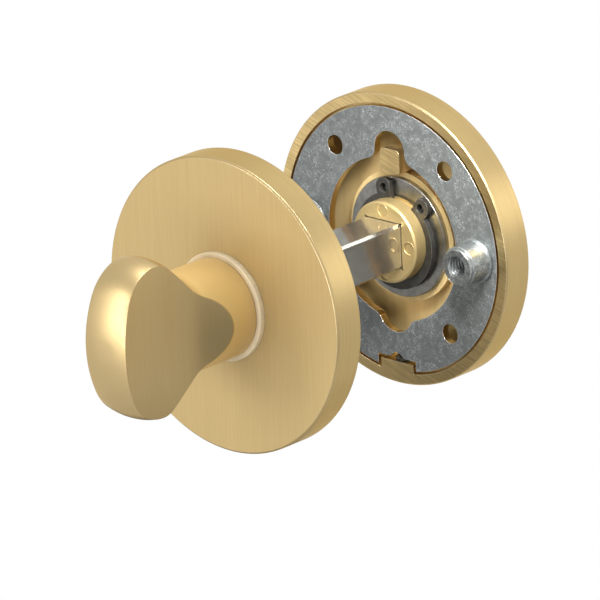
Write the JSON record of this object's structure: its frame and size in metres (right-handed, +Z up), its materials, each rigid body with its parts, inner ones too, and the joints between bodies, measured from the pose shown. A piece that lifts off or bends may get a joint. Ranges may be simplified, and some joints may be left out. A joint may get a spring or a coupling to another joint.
{
  "type": "bathroom thumb turn lock",
  "caption": "Thumb turn on a round rose and a coin-slot release on a matching rose, joined through the door by a square spindle, to lock a bathroom door.",
  "frame": {"origin": "on the spindle's axis, in the plane of the inside half that lies against the door, at the centre of its two fixing holes", "axes": "+Y along the spindle from the thumb turn through the door to the release button, +Z up, +X to the right seen from the room side"},
  "size_m": [0.052, 0.0841, 0.052],
  "materials": {
    "satin_brass": "fine brushed satin brass",
    "turned_brass": "turned brass, plain",
    "zinc_bar": "zinc plated drawn bar",
    "zinc_sheet": "zinc plated sheet, mottled and lightly scratched",
    "zinc_turned": "zinc plated turned steel",
    "bright_washer": "bright steel",
    "spring_steel": "dark phosphated spring steel",
    "nylon": "natural nylon, slightly translucent",
    "screw_steel": "stainless steel"
  },
  "bodies": {
    "inside_half": {"inside_rose": "satin_brass", "inside_plate": "zinc_sheet", "inside_bush": "nylon", "inside_thrust_washer": "bright_washer", "inside_grub_screw": "screw_steel"},
    "thumb_turn": {"thumb_turn": "satin_brass", "inside_retaining_clip": "spring_steel"},
    "outside_half": {"outside_rose": "satin_brass", "outside_plate": "zinc_sheet", "threaded_post_right": "zinc_turned", "threaded_post_left": "zinc_turned", "outside_bush": "nylon", "outside_thrust_washer": "bright_washer", "outside_grub_screw": "screw_steel"},
    "release_turn": {"release_turn": "turned_brass", "outside_retaining_clip": "spring_steel", "spindle": "zinc_bar"}
  },
  "joints": [
    {"name": "thumb_turn_hinge", "type": "hinge", "parent": "inside_half", "child": "thumb_turn", "pos_m": [0, 0, 0], "axis": [0, 1, 0], "range_deg": [-90, 90]},
    {"name": "door_thickness_slide", "type": "slide", "parent": "inside_half", "child": "outside_half", "axis": [0, 1, 0], "range_m": [-0.002, 0.008]},
    {"name": "release_turn_hinge", "type": "hinge", "parent": "outside_half", "child": "release_turn", "pos_m": [0, 0.037, 0], "axis": [0, 1, 0], "range_deg": [-90, 90]}
  ],
  "couplings": [
    {"joint": "release_turn_hinge", "follows": "thumb_turn_hinge", "ratio": 1}
  ]
}
